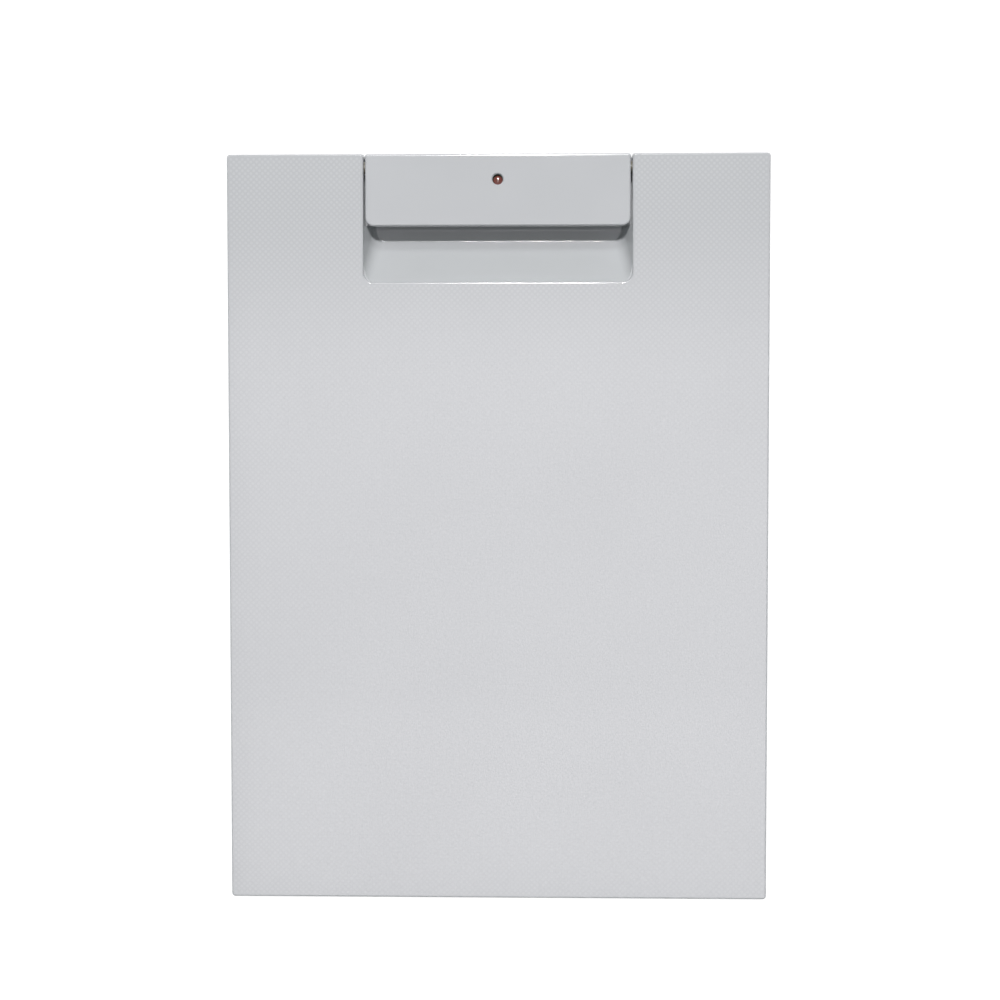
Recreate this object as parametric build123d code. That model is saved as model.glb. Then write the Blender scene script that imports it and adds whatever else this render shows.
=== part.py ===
"""Storage clipboard: a shallow hinged case whose lid is the writing board, with a flush lift-up clip at its head.

Frame: +Z is out of the writing face, +Y is towards the clip end (the head of the page), +X is to the writer's right.
The origin is at the centre of the outline, in the plane that the rubber feet stand on. All sizes are in millimetres.

Bodies: the tray stands still. The lid swings on a long rod along its left edge. The clip swings on a pin across
the notch in the lid's head. A thumb bolt slides along the lid's right wall and hooks under a strike in the tray.
A small slide switch under the clip works the indicator lamp.
"""

from build123d import *
import math
import os

# ---------------------------------------------------------------- overall case
board_width = 230.0
board_length = 318.0
board_thickness = 22.0
foot_height = 1.0
corner_radius = 1.5
face_edge_fillet = 0.8
base_edge_fillet = 0.8
wall = 2.0
lid_plate = 2.2
tray_floor = 2.0
lid_depth = 9.8
seam_gap = 0.4

# ---------------------------------------------------------------- lid hinge, along the left edge
hinge_axis_inset = 3.5
hinge_barrel_radius = 3.2
hinge_rod_radius = 1.25
hinge_end_margin = 8.5
knuckle_count = 7
knuckle_gap = 0.4
channel_clearance = 0.7
running_clearance = 0.05

# ---------------------------------------------------------------- notch and clip
notch_width = 113.8
notch_length = 54.0
notch_corner_radius = 4.0
notch_mouth_radius = 1.2
notch_edge_fillet = 0.6
clip_side_gap = 0.7
clip_length = 30.5
clip_face = 2.2
clip_corner_radius = 3.5
clip_head_corner_radius = 1.0
clip_edge_fillet = 1.0
clip_skirt_wall = 1.8
clip_return_depth = 6.5
pivot_from_head = 5.3
pivot_pin_radius = 1.5
bush_wall = 0.7
bush_flange_rim = 0.4
bush_flange_thickness = 0.45

# ---------------------------------------------------------------- housing (the cup behind the notch)
pocket_depth = 11.0
cup_wall = 1.6
scoop_length = 18.0
cup_side_taper = 4.0
cup_side_fillet = 6.0
cup_line_fillet = 1.0
bay_length = 30.0
bay_wall = 2.4
cup_flange = 2.7
trough_clearance = 0.3
housing_end_wall_drop = 3.6

# ---------------------------------------------------------------- jaw and pads
jaw_from_head = 19.0
jaw_thickness = 3.4
jaw_end_inset = 2.0
jaw_pad_gap = 0.3
floor_pad_thickness = 1.0
floor_pad_length = 7.5
jaw_pad_height = 2.6
jaw_pad_overlap = 0.2
pad_tongue = 1.4
pad_slot_clearance = 0.1

# ---------------------------------------------------------------- clip frame
frame_plate = 1.2
frame_side_gap = 4.2
frame_screw_inset = 6.0
frame_screw_from_foot = 6.1
frame_screw_from_pivot = 7.2
clip_knuckle_wall = 1.2
clip_knuckle_end_inset = 2.0
clip_knuckle_spring_gap = 2.9
spring_inner = 27.1
spring_outer = 35.1
spring_wire_radius = 0.4
spring_pin_clearance = 0.49
spring_head_clearance = 0.29
spring_leg_clearance = 0.05
spring_sleeve_margin = 0.06
spring_leg_inset = 0.15
spring_frame_leg = 6.0
spring_post_width = 2.2
spring_post_length = 2.4
spring_post_rise = 1.2
spring_window_margin = 0.8

# ---------------------------------------------------------------- indicator lamp
lamp_from_head = 10.9
lamp_off_board_centre = 1.9
lamp_hole_radius = 2.25
lamp_hole_chamfer = 0.45
lamp_recess = 0.6
led_radius = 1.85
led_body_height = 0.45
led_flange_radius = 2.05
led_flange_height = 0.8
led_lead_radius = 0.25
led_lead_spacing = 2.54
led_lead_length = 1.7
circuit_board_thickness = 0.8
circuit_board_half_length = 23.5
circuit_board_width = 8.6
cell_radius = 3.4
cell_height = 2.1
cell_positions = (8.5, 17.0)
lamp_cover_half_length = 26.0
lamp_cover_wall = 1.0
lamp_cover_depth = 3.8
switch_position = -15.0
switch_travel = 2.0

# ---------------------------------------------------------------- thumb bolt and strike
bolt_travel = 5.0
bolt_pad_length = 18.0
bolt_pad_height = 3.4
bolt_pad_corner = 0.5
bolt_window_clearance = 0.3
bolt_plate_thickness = 1.8
bolt_hook_width = 4.0
bolt_toe_length = 4.0
bolt_toe_height = 2.0
bolt_hook_depth = 4.8
bolt_hook_positions = (-20.0, 8.0)
sliding_clearance = 0.3
strike_strip = 0.8
strike_tab_height = 1.8

# ---------------------------------------------------------------- screws and feet
screw_radius = 1.0
screw_head_radius = 1.9
screw_head_height = 1.2
pilot_clearance = 0.05
boss_radius = 3.0
foot_radius = 5.0
foot_seat_depth = 0.6
foot_inset_x = 18.0
foot_inset_y = 18.0
lip_height = 1.8
lip_thickness = 1.0
lip_clearance = 0.3
rib_thickness = 1.2
rib_depth = 2.0

# ---------------------------------------------------------------- places worked out from the sizes above
half_width = board_width / 2
half_length = board_length / 2
hinge_length = board_length - 2 * hinge_end_margin
seam_height = board_thickness - lid_depth
lid_inside = board_thickness - lid_plate
lid_rim = seam_height + seam_gap / 2
tray_rim = seam_height - seam_gap / 2
tray_inside = foot_height + tray_floor
hinge_x = -half_width + hinge_axis_inset
channel_x = hinge_x + hinge_barrel_radius + channel_clearance
inner_right = half_width - wall
inner_head = half_length - wall
bush_radius = pivot_pin_radius + bush_wall
bush_flange_radius = bush_radius + bush_flange_rim
clip_knuckle_radius = pivot_pin_radius + clip_knuckle_wall
spring_sleeve_half = spring_wire_radius + spring_sleeve_margin
spring_mean_radius = pivot_pin_radius + spring_pin_clearance + spring_sleeve_half
pivot_depth = clip_face + spring_head_clearance + spring_mean_radius + spring_sleeve_half
clip_skirt_depth = pivot_depth - spring_mean_radius + spring_wire_radius + spring_leg_clearance
pivot_y = half_length - pivot_from_head
pivot_z = board_thickness - pivot_depth
clip_half_width = notch_width / 2 - clip_side_gap
clip_foot_y = half_length - clip_length
frame_half_width = clip_half_width - frame_side_gap
jaw_half_width = frame_half_width - jaw_end_inset
clip_knuckle_inner = spring_outer + clip_knuckle_spring_gap
clip_knuckle_outer = frame_half_width - clip_knuckle_end_inset
notch_foot_y = half_length - notch_length
pocket_floor = board_thickness - pocket_depth
return_radius = math.hypot(pivot_from_head, clip_return_depth - pivot_depth)
trough_radius = return_radius + trough_clearance
bay_foot_y = half_length - bay_length
frame_top = board_thickness - clip_skirt_depth
frame_bottom = frame_top - frame_plate
lamp_y = half_length - lamp_from_head
board_top = board_thickness - lamp_recess - led_radius - led_body_height - led_flange_height
board_bottom = board_top - circuit_board_thickness
board_centre_y = lamp_y - lamp_off_board_centre
jaw_y = half_length - jaw_from_head - jaw_thickness / 2
jaw_pad_foot = pocket_floor + floor_pad_thickness + jaw_pad_gap


# ---------------------------------------------------------------- small helpers
def block(x0, x1, y0, y1, z0, z1):
    """A box between two opposite corners."""
    return Pos((x0 + x1) / 2, (y0 + y1) / 2, (z0 + z1) / 2) * Box(x1 - x0, y1 - y0, z1 - z0)


def rod_x(radius, x0, x1, y, z):
    return Pos((x0 + x1) / 2, y, z) * Rot(0, 90, 0) * Cylinder(radius, x1 - x0)


def rod_y(radius, y0, y1, x, z):
    return Pos(x, (y0 + y1) / 2, z) * Rot(90, 0, 0) * Cylinder(radius, y1 - y0)


def rod_z(radius, z0, z1, x, y):
    return Pos(x, y, (z0 + z1) / 2) * Cylinder(radius, z1 - z0)


def prism_x(points, x0, x1):
    """A polygon of (y, z) points, drawn out along X."""
    face = make_face(Polyline(*[Vector(x0, y, z) for y, z in points], close=True))
    return extrude(face, amount=x1 - x0, dir=(1, 0, 0))


def prism_y(points, y0, y1):
    """A polygon of (x, z) points, drawn out along Y."""
    face = make_face(Polyline(*[Vector(x, y0, z) for x, z in points], close=True))
    return extrude(face, amount=y1 - y0, dir=(0, 1, 0))


def plate(width_from, width_to, length_from, length_to, radius, z0, z1):
    """A flat slab with rounded upright corners."""
    middle = Pos((width_from + width_to) / 2, (length_from + length_to) / 2, z0)
    outline = RectangleRounded(width_to - width_from, length_to - length_from, radius)
    return extrude(middle * outline, amount=z1 - z0, dir=(0, 0, 1))


def screw_up(x, y, head_z, reach):
    """A pan-head screw driven upwards: its head hangs below head_z and its shank rises by reach."""
    head = rod_z(screw_head_radius, head_z - screw_head_height, head_z, x, y)
    shank = rod_z(screw_radius, head_z, head_z + reach, x, y)
    drive = rod_z(screw_radius * 0.7, head_z - screw_head_height, head_z - screw_head_height / 2, x, y)
    return head + shank - drive


def screw_down(x, y, head_z, reach):
    """A pan-head screw driven downwards: its head stands on head_z and its shank drops by reach."""
    head = rod_z(screw_head_radius, head_z, head_z + screw_head_height, x, y)
    shank = rod_z(screw_radius, head_z - reach, head_z, x, y)
    drive = rod_z(screw_radius * 0.7, head_z + screw_head_height / 2, head_z + screw_head_height, x, y)
    return head + shank - drive


def pilot(z0, z1, x, y):
    return rod_z(screw_radius + pilot_clearance, z0, z1, x, y)


def group(solids):
    return Compound(children=list(solids))


def both_sides(make):
    """What make(side) builds, for the left side (-1) and the right side (+1)."""
    return [make(side) for side in (-1, 1)]


# ---------------------------------------------------------------- hinge knuckles
knuckle_pitch = hinge_length / knuckle_count
web_gap = 0.3


def knuckle(index, upwards):
    """One knuckle of the lid hinge, with the web that joins it to the lid (upwards=1) or the tray (-1)."""
    y0 = -hinge_length / 2 + index * knuckle_pitch + knuckle_gap / 2
    y1 = y0 + knuckle_pitch - knuckle_gap
    barrel = rod_y(hinge_barrel_radius, y0, y1, hinge_x, seam_height)
    low, high = sorted((seam_height + upwards * web_gap, seam_height + upwards * hinge_barrel_radius))
    web = block(hinge_x, channel_x + wall / 2, y0, y1, low, high)
    return barrel + web


def rod_bore():
    return rod_y(hinge_rod_radius + running_clearance, -half_length, half_length, hinge_x, seam_height)


# ---------------------------------------------------------------- lid cover
housing_tab_y = (half_length - 9.0, notch_foot_y + 11.0)
housing_boss_x = notch_width / 2 + 6.2
housing_tab_top = board_thickness - 7.0
housing_tab_thickness = 1.6
end_wall_half = notch_width / 2 - 0.2
bolt_pad_z = lid_rim + 2.5
bolt_window_length = bolt_pad_length + bolt_travel + 2 * bolt_window_clearance
bolt_rest_y = -bolt_travel / 2
bolt_plate_outer = inner_right - sliding_clearance
bolt_plate_inner = bolt_plate_outer - bolt_plate_thickness
bolt_rail_length = 62.0
bolt_rail_thickness = 1.8
bolt_rail_depth = 2.8


def case_ring(z0, z1):
    """The side walls of the lid or tray, stepped in along the hinge channel."""
    outer = plate(channel_x, half_width, -half_length, half_length, corner_radius, z0, z1)
    inner = block(channel_x + wall, inner_right, -inner_head, inner_head, z0, z1)
    return outer - inner


def notch_cut(z0, z1):
    """The notch in the lid's head, with rounded inner corners and a rounded mouth."""
    beyond = 10.0
    centre = Pos(0, (notch_foot_y + half_length + beyond) / 2, z0)
    outline = centre * RectangleRounded(notch_width, notch_length + beyond, notch_corner_radius)
    return extrude(outline, amount=z1 - z0, dir=(0, 0, 1))


def lid_ribs():
    """Stiffening ribs under the writing face, clear of the housing and the thumb bolt."""
    rib_head = notch_foot_y - 8.0
    rib_foot = -inner_head + 6.0
    rib_right = bolt_plate_inner - bolt_rail_thickness - 5.0
    rib_left = channel_x + wall
    ribs = []
    for x in (-board_width / 4, 0.0, board_width / 4):
        ribs.append(block(x - rib_thickness / 2, x + rib_thickness / 2, rib_foot, rib_head, lid_inside - rib_depth,
                          lid_inside))
    count = 5
    for i in range(count):
        y = rib_foot + (rib_head - rib_foot) * (i + 0.5) / count
        ribs.append(block(rib_left, rib_right, y - rib_thickness / 2, y + rib_thickness / 2, lid_inside - rib_depth,
                          lid_inside))
    return ribs


def make_lid_cover():
    """The writing board: face plate, side walls, hinge knuckles, ribs and bosses, with the notch for the clip."""
    face = plate(-half_width, half_width, -half_length, half_length, corner_radius, lid_inside, board_thickness)
    face -= notch_cut(lid_inside, board_thickness)
    mouth = face.edges().filter_by(Axis.Z).filter_by(
        lambda e: abs(abs(e.center().X) - notch_width / 2) < 0.01 and e.center().Y > half_length - 0.01)
    face = fillet(mouth, notch_mouth_radius)
    front = face.faces().sort_by(Axis.Z)[-1]
    face = fillet(front.outer_wire().edges(), face_edge_fillet)
    walls = case_ring(lid_rim, lid_inside)
    walls -= block(-notch_width / 2, notch_width / 2, inner_head - 1, half_length + 1, lid_rim, lid_inside)
    lid = face + walls
    for index in range(1, knuckle_count, 2):
        lid += knuckle(index, 1)
    for rib in lid_ribs():
        lid += rib
    for side in (-1, 1):
        for y in housing_tab_y:
            lid += rod_z(boss_radius, housing_tab_top, lid_inside, side * housing_boss_x, y)
            lid -= pilot(housing_tab_top, board_thickness - 1.0, side * housing_boss_x, y)
    rail_outer = bolt_plate_inner - sliding_clearance
    lid += block(rail_outer - bolt_rail_thickness, rail_outer, -bolt_rail_length / 2, bolt_rail_length / 2,
                 lid_inside - bolt_rail_depth, lid_inside)
    lid -= block(inner_right - 1, half_width + 1, -bolt_window_length / 2, bolt_window_length / 2,
                 bolt_pad_z - bolt_window_clearance, bolt_pad_z + bolt_pad_height + bolt_window_clearance)
    return lid - rod_bore()


# ---------------------------------------------------------------- tray
strike_boss_y = (-33.0, 35.0)
strike_boss_x = inner_right - 4.5
strike_ear_bottom = tray_inside + 3.0
lip_gap_half = 40.0
foot_places = [(sx * (half_width - foot_inset_x), sy * (half_length - foot_inset_y))
               for sx in (-1, 1) for sy in (-1, 1)]


def tray_lips():
    """The upstanding lips that locate the closed lid, left out where the housing and the bolt hooks come down."""
    right = inner_right - lip_clearance
    end = inner_head - lip_clearance
    left = channel_x + wall + 2.0
    top = tray_rim + lip_height
    foot = tray_inside + 1.0
    lips = []
    for side in (-1, 1):
        y0, y1 = sorted((side * lip_gap_half, side * end))
        lips.append(block(right - lip_thickness, right, y0, y1, foot, top))
        lips.append(block(right - lip_thickness, inner_right, y0, y1, foot, tray_rim))
    lips.append(block(left, right, -end, -end + lip_thickness, foot, top))
    lips.append(block(left, right, -inner_head, -end + lip_thickness, foot, tray_rim))
    clear = notch_width / 2 + bay_wall + 3.0
    for x0, x1 in ((left, -clear), (clear, right)):
        lips.append(block(x0, x1, end - lip_thickness, end, foot, top))
        lips.append(block(x0, x1, end - lip_thickness, inner_head, foot, tray_rim))
    return lips


def make_tray():
    """The rear case: floor, side walls, hinge knuckles, locating lips, strike bosses and seats for the feet."""
    floor = plate(-half_width, half_width, -half_length, half_length, corner_radius, foot_height, tray_inside)
    back = floor.faces().sort_by(Axis.Z)[0]
    floor = fillet(back.outer_wire().edges(), base_edge_fillet)
    tray = floor + case_ring(tray_inside, tray_rim)
    for index in range(0, knuckle_count, 2):
        tray += knuckle(index, -1)
    for lip in tray_lips():
        tray += lip
    step_half = end_wall_half + seam_gap
    tray -= block(-step_half, step_half, inner_head - 1, half_length + 1, pocket_floor - cup_wall - seam_gap, tray_rim)
    for y in strike_boss_y:
        tray += rod_z(boss_radius, tray_inside, strike_ear_bottom, strike_boss_x, y)
        tray -= pilot(tray_inside - 0.5, strike_ear_bottom, strike_boss_x, y)
    for x, y in foot_places:
        tray -= rod_z(foot_radius + pilot_clearance, foot_height, foot_height + foot_seat_depth, x, y)
    return tray - rod_bore()


def make_rubber_feet():
    feet = []
    for x, y in foot_places:
        foot = rod_z(foot_radius, 0, foot_height + foot_seat_depth, x, y)
        feet.append(chamfer(foot.edges().sort_by(Axis.Z)[0], 0.3))
    return group(feet)


def make_hinge_rod():
    rod = rod_y(hinge_rod_radius, -hinge_length / 2 + 0.5, hinge_length / 2 - 0.5, hinge_x, seam_height)
    return chamfer(rod.edges(), 0.2)


# ---------------------------------------------------------------- clip housing
def cup_cavity():
    """The hollow of the housing: a scoop, a flat floor, and a round trough about the pivot."""
    above = board_thickness + 5.0
    beyond = half_length + 5.0
    side_profile = [
        (notch_foot_y, above),
        (notch_foot_y, lid_inside),
        (notch_foot_y + scoop_length, pocket_floor),
        (bay_foot_y + 0.5, pocket_floor),
        (bay_foot_y + 0.5, above),
    ]
    across = notch_width / 2
    tapered = [
        (-across, above),
        (-across, lid_inside),
        (-across + cup_side_taper, pocket_floor),
        (across - cup_side_taper, pocket_floor),
        (across, lid_inside),
        (across, above),
    ]
    scoop = prism_x(side_profile, -across, across) & prism_y(tapered, notch_foot_y - 1, bay_foot_y + 1)
    deep = across - cup_side_taper
    slope_foot = notch_foot_y + scoop_length
    sides = scoop.edges().filter_by(
        lambda e: e.center().Y < slope_foot - 1 and pocket_floor + 1 < e.center().Z < lid_inside - 1
        and abs(abs(e.center().X) - (across + deep) / 2) < 1)
    scoop = fillet(sides, cup_side_fillet)
    line = scoop.edges().filter_by(Axis.X).filter_by(lambda e: abs(e.center().Z - pocket_floor) < 0.01)
    scoop = fillet(line.filter_by(lambda e: e.center().Y < slope_foot + 0.1), cup_line_fillet)
    bay = block(-across, across, bay_foot_y, pivot_y, pocket_floor, above)
    trough = rod_x(trough_radius, -across, across, pivot_y, pivot_z)
    mouth = block(-across, across, pivot_y, beyond, pivot_z - 0.1, above)
    return scoop + bay + trough + mouth


frame_leg_x = spring_inner + spring_wire_radius + spring_leg_inset
fixed_leg_x = spring_outer - spring_wire_radius - spring_leg_inset
fixed_leg_z = pivot_z - spring_mean_radius
spring_post_head = pivot_y - spring_mean_radius - spring_wire_radius - 0.6


def spring_post(side):
    """The post on the pocket floor that holds a torsion spring's fixed leg through a hole."""
    x0, x1 = sorted((side * (fixed_leg_x - spring_post_width / 2), side * (fixed_leg_x + spring_post_width / 2)))
    post = block(x0, x1, spring_post_head - spring_post_length, spring_post_head, pocket_floor - cup_wall / 2,
                 fixed_leg_z + spring_post_rise)
    hole = rod_y(spring_wire_radius + pilot_clearance, 0, half_length, side * fixed_leg_x, fixed_leg_z)
    return post - hole


def make_clip_housing():
    """The cup screwed behind the notch: finger scoop, pocket floor, pivot bay and the trough the clip turns in."""
    across = notch_width / 2
    scoop_drop = lid_inside - pocket_floor
    slope = math.atan2(scoop_drop, scoop_length)
    outer_floor = pocket_floor - cup_wall
    outer_foot = notch_foot_y + scoop_length - cup_wall * math.tan(slope / 2)
    outer_rise = lid_inside - cup_wall
    outer_top_y = outer_foot - (outer_rise - outer_floor) / math.tan(slope)
    inside_lid_end = inner_head - 0.8
    side_outer = [
        (notch_foot_y - cup_flange, lid_inside),
        (notch_foot_y - cup_flange, outer_rise),
        (outer_top_y, outer_rise),
        (outer_foot, outer_floor),
        (inside_lid_end, outer_floor),
        (inside_lid_end, lid_inside),
    ]
    cup = prism_x(side_outer, -across - cup_flange, across + cup_flange)
    body_half_top = across + cup_wall
    body_half_foot = across - cup_side_taper + cup_wall
    tapered = [
        (-across - cup_flange, lid_inside),
        (-across - cup_flange, outer_rise),
        (-body_half_top, outer_rise),
        (-body_half_foot, outer_floor),
        (body_half_foot, outer_floor),
        (body_half_top, outer_rise),
        (across + cup_flange, outer_rise),
        (across + cup_flange, lid_inside),
    ]
    cup &= prism_y(tapered, notch_foot_y - cup_flange, inside_lid_end)
    cup += block(-across - bay_wall, across + bay_wall, bay_foot_y - bay_wall, inside_lid_end, outer_floor, lid_inside)
    end_top = pivot_z - housing_end_wall_drop
    cup += block(-end_wall_half, end_wall_half, inside_lid_end - 1, half_length, outer_floor, end_top)
    for side in (-1, 1):
        for y in housing_tab_y:
            x0, x1 = sorted((side * (across - 2.3), side * (housing_boss_x + boss_radius)))
            cup += block(x0, x1, y - 4.5, y + 4.5, housing_tab_top - housing_tab_thickness, housing_tab_top)
    cup -= cup_cavity()
    for side in (-1, 1):
        for y in housing_tab_y:
            cup -= pilot(outer_floor, lid_inside, side * housing_boss_x, y)
    for side in (-1, 1):
        cup += spring_post(side)
    bush_hole = bush_radius + pilot_clearance
    cup -= rod_x(bush_hole, -across - bay_wall - 1, across + bay_wall + 1, pivot_y, pivot_z)
    return cup


def make_pivot_bush(side):
    """A flanged nylon bush in the housing's side wall, which carries one end of the clip pin."""
    inner = notch_width / 2 - bush_flange_thickness
    outer = notch_width / 2 + bay_wall
    flange = rod_x(bush_flange_radius, inner, notch_width / 2, pivot_y, pivot_z)
    sleeve = rod_x(bush_radius, inner, outer, pivot_y, pivot_z)
    bore = rod_x(pivot_pin_radius + running_clearance, inner - 1, outer + 1, pivot_y, pivot_z)
    bush = flange + sleeve - bore
    return bush if side > 0 else mirror(bush, about=Plane.YZ)


def make_clip_pin():
    end = notch_width / 2 + bay_wall
    pin = rod_x(pivot_pin_radius, -end, end, pivot_y, pivot_z)
    return chamfer(pin.edges(), 0.3)


# ---------------------------------------------------------------- clip plate and frame
frame_screw_x = frame_half_width - frame_screw_inset
frame_screws = [(frame_screw_x, clip_foot_y + frame_screw_from_foot), (frame_screw_x, pivot_y - frame_screw_from_pivot)]
lamp_screw_x = 29.5
lamp_screw_y = board_centre_y - 1.0


def make_clip_plate():
    """The visible clip: a face with a rolled edge, a return over the board's head, and the lamp hole."""
    y_middle = (clip_foot_y + half_length) / 2
    outline = Pos(0, y_middle) * Rectangle(2 * clip_half_width, clip_length)
    corners = outline.vertices().sort_by(Axis.Y)
    outline = fillet(corners[:2], clip_corner_radius)
    outline = fillet(outline.vertices().sort_by(Axis.Y)[-2:], clip_head_corner_radius)
    shell = extrude(Pos(0, 0, frame_top) * outline, amount=clip_skirt_depth, dir=(0, 0, 1))
    shell = fillet(shell.faces().sort_by(Axis.Z)[-1].edges(), clip_edge_fillet)
    inside = plate(-clip_half_width + clip_skirt_wall, clip_half_width - clip_skirt_wall,
                   clip_foot_y + clip_skirt_wall, half_length - clip_skirt_wall, clip_corner_radius / 2,
                   frame_top, board_thickness - clip_face)
    shell -= inside
    return_foot = board_thickness - clip_return_depth
    shell += block(-clip_half_width + 1.0, clip_half_width - 1.0, half_length - clip_skirt_wall, half_length,
                   return_foot, frame_top + 0.5)
    for side in (-1, 1):
        for x, y in frame_screws:
            shell += rod_z(boss_radius, frame_top, board_thickness - clip_face, side * x, y)
            shell -= pilot(frame_top, frame_top + 2.4, side * x, y)
        shell += rod_z(1.4, board_top, board_thickness - clip_face, side * (circuit_board_half_length - 2.0),
                       board_centre_y - 2.0)
    shell -= rod_z(lamp_hole_radius, frame_top, board_thickness + 1, 0, lamp_y)
    mouth = Pos(0, lamp_y, board_thickness - lamp_hole_chamfer / 2) * Cone(
        lamp_hole_radius, lamp_hole_radius + lamp_hole_chamfer, lamp_hole_chamfer)
    return shell - mouth


def make_clip_frame():
    """The frame under the clip plate: stiffening plate, two knuckles on the pin, and the jaw rib."""
    foot = clip_foot_y + clip_skirt_wall + 0.9
    frame = block(-frame_half_width, frame_half_width, foot, pivot_y, frame_bottom, frame_top)
    window_half = circuit_board_half_length + 1.0
    window_foot = board_centre_y - circuit_board_width / 2 - 0.5
    window_head = board_centre_y + circuit_board_width / 2 + 0.6
    for side in (-1, 1):
        x0, x1 = sorted((side * clip_knuckle_inner, side * clip_knuckle_outer))
        frame += rod_x(clip_knuckle_radius, x0, x1, pivot_y, pivot_z)
        frame += block(x0, x1, pivot_y - clip_knuckle_radius, pivot_y, pivot_z, frame_top)
        frame += rod_z(2.2, frame_top, frame_top + 1.0, side * lamp_screw_x, lamp_screw_y)
    rib_foot = jaw_pad_foot + jaw_pad_height
    frame += block(-jaw_half_width, jaw_half_width, jaw_y - jaw_thickness / 2, jaw_y + jaw_thickness / 2,
                   rib_foot, frame_bottom)
    frame += block(-jaw_half_width + 1, jaw_half_width - 1, jaw_y - pad_tongue / 2, jaw_y + pad_tongue / 2,
                   jaw_pad_foot + 1.1, rib_foot)
    frame -= block(-window_half, window_half, window_foot, window_head, frame_bottom - 0.1, frame_top + 0.1)
    for side in (-1, 1):
        for x, y in frame_screws:
            frame -= pilot(frame_bottom, frame_top, side * x, y)
        frame -= pilot(frame_bottom, frame_top + 1.0, side * lamp_screw_x, lamp_screw_y)
        margin = spring_window_margin
        x0, x1 = sorted((side * (spring_inner - margin), side * (spring_outer + margin)))
        coil_foot = pivot_y - spring_mean_radius - spring_wire_radius
        frame -= block(x0, x1, coil_foot - margin, pivot_y + 1, frame_bottom - 0.1, frame_top + 0.1)
    return frame - rod_x(pivot_pin_radius + running_clearance, -half_width, half_width, pivot_y, pivot_z)


def make_torsion_spring(side):
    """A torsion spring about the clip pin: the coil as a sleeve, one leg on the frame, one through its post."""
    outer = rod_x(spring_mean_radius + spring_sleeve_half, spring_inner, spring_outer, pivot_y, pivot_z)
    coil = outer - rod_x(spring_mean_radius - spring_sleeve_half, spring_inner, spring_outer, pivot_y, pivot_z)
    frame_leg = rod_y(spring_wire_radius, pivot_y - spring_frame_leg, pivot_y, frame_leg_x,
                      pivot_z + spring_mean_radius)
    leg_foot = spring_post_head - spring_post_length - 0.8
    fixed_leg = rod_y(spring_wire_radius, leg_foot, pivot_y, fixed_leg_x, fixed_leg_z)
    spring = coil + frame_leg + fixed_leg
    return spring if side > 0 else mirror(spring, about=Plane.YZ)


def make_jaw_pad():
    """The rubber strip on the jaw's edge."""
    reach = jaw_half_width - 1.0
    top = jaw_pad_foot + jaw_pad_height
    half = jaw_thickness / 2 + jaw_pad_overlap
    pad = block(-reach, reach, jaw_y - half, jaw_y + half, jaw_pad_foot, top)
    slot = pad_tongue / 2 + pad_slot_clearance
    pad -= block(-reach, reach, jaw_y - slot, jaw_y + slot, jaw_pad_foot + 1.0, top)
    foot_edges = pad.edges().filter_by(Axis.X).group_by(Axis.Z)[0]
    return fillet(foot_edges, 0.6)


def make_floor_pad():
    """The rubber strip on the pocket floor that the jaw closes on."""
    reach = jaw_half_width - 1.0
    pad = block(-reach, reach, jaw_y - floor_pad_length / 2, jaw_y + floor_pad_length / 2, pocket_floor,
                pocket_floor + floor_pad_thickness)
    return fillet(pad.edges().group_by(Axis.Z)[-1], 0.3)


# ---------------------------------------------------------------- lamp
def make_indicator_led():
    """A small domed lamp: flange on the circuit board, body, dome and two leads."""
    flange = rod_z(led_flange_radius, board_top, board_top + led_flange_height, 0, lamp_y)
    dome_z = board_thickness - lamp_recess - led_radius
    body = rod_z(led_radius, board_top, dome_z, 0, lamp_y)
    dome = Pos(0, lamp_y, dome_z) * Sphere(led_radius, arc_size1=0)
    led = flange + body + dome
    for side in (-1, 1):
        led += rod_z(led_lead_radius, board_top - led_lead_length, board_top + 0.2, side * led_lead_spacing / 2, lamp_y)
    return led


def make_lamp_board():
    half = circuit_board_width / 2
    board = block(-circuit_board_half_length, circuit_board_half_length, board_centre_y - half, board_centre_y + half,
                  board_bottom, board_top)
    for side in (-1, 1):
        board -= rod_z(led_lead_radius + 0.1, board_bottom, board_top, side * led_lead_spacing / 2, lamp_y)
    return board


def make_button_cells():
    top = board_bottom - 0.1
    cells = []
    for x in cell_positions:
        cell = rod_z(cell_radius, top - cell_height, top, x, board_centre_y)
        cells.append(chamfer(cell.edges().group_by(Axis.Z)[0], 0.3))
    return group(cells)


def make_cell_strap():
    """The spring strap that holds both cells against the circuit board."""
    cell_foot = board_bottom - 0.1 - cell_height
    thick = 0.25
    x0 = cell_positions[0] - cell_radius - 0.4
    x1 = cell_positions[1] + cell_radius + 0.4
    strap = block(x0 - thick, x1 + thick, board_centre_y - 1.2, board_centre_y + 1.2, cell_foot - thick, cell_foot)
    for a, b in ((x0 - thick, x0), (x1, x1 + thick)):
        strap += block(a, b, board_centre_y - 1.2, board_centre_y + 1.2, cell_foot - thick, board_bottom)
    return strap


switch_half_length = 4.4
switch_half_width = 1.9
switch_height = 2.3
knob_half_length = 1.0
knob_half_width = 0.8
knob_length = 3.5
switch_slot_clearance = 0.2


def make_lamp_switch():
    """The slide switch's case on the circuit board, open below where its knob comes out."""
    foot = board_bottom - switch_height
    case = block(switch_position - switch_half_length, switch_position + switch_half_length,
                 board_centre_y - switch_half_width, board_centre_y + switch_half_width, foot, board_bottom)
    reach = knob_half_length + switch_travel / 2 + switch_slot_clearance
    slot = block(switch_position - reach, switch_position + reach, board_centre_y - knob_half_width - 0.15,
                 board_centre_y + knob_half_width + 0.15, foot, foot + 1.4)
    return case - slot


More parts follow.
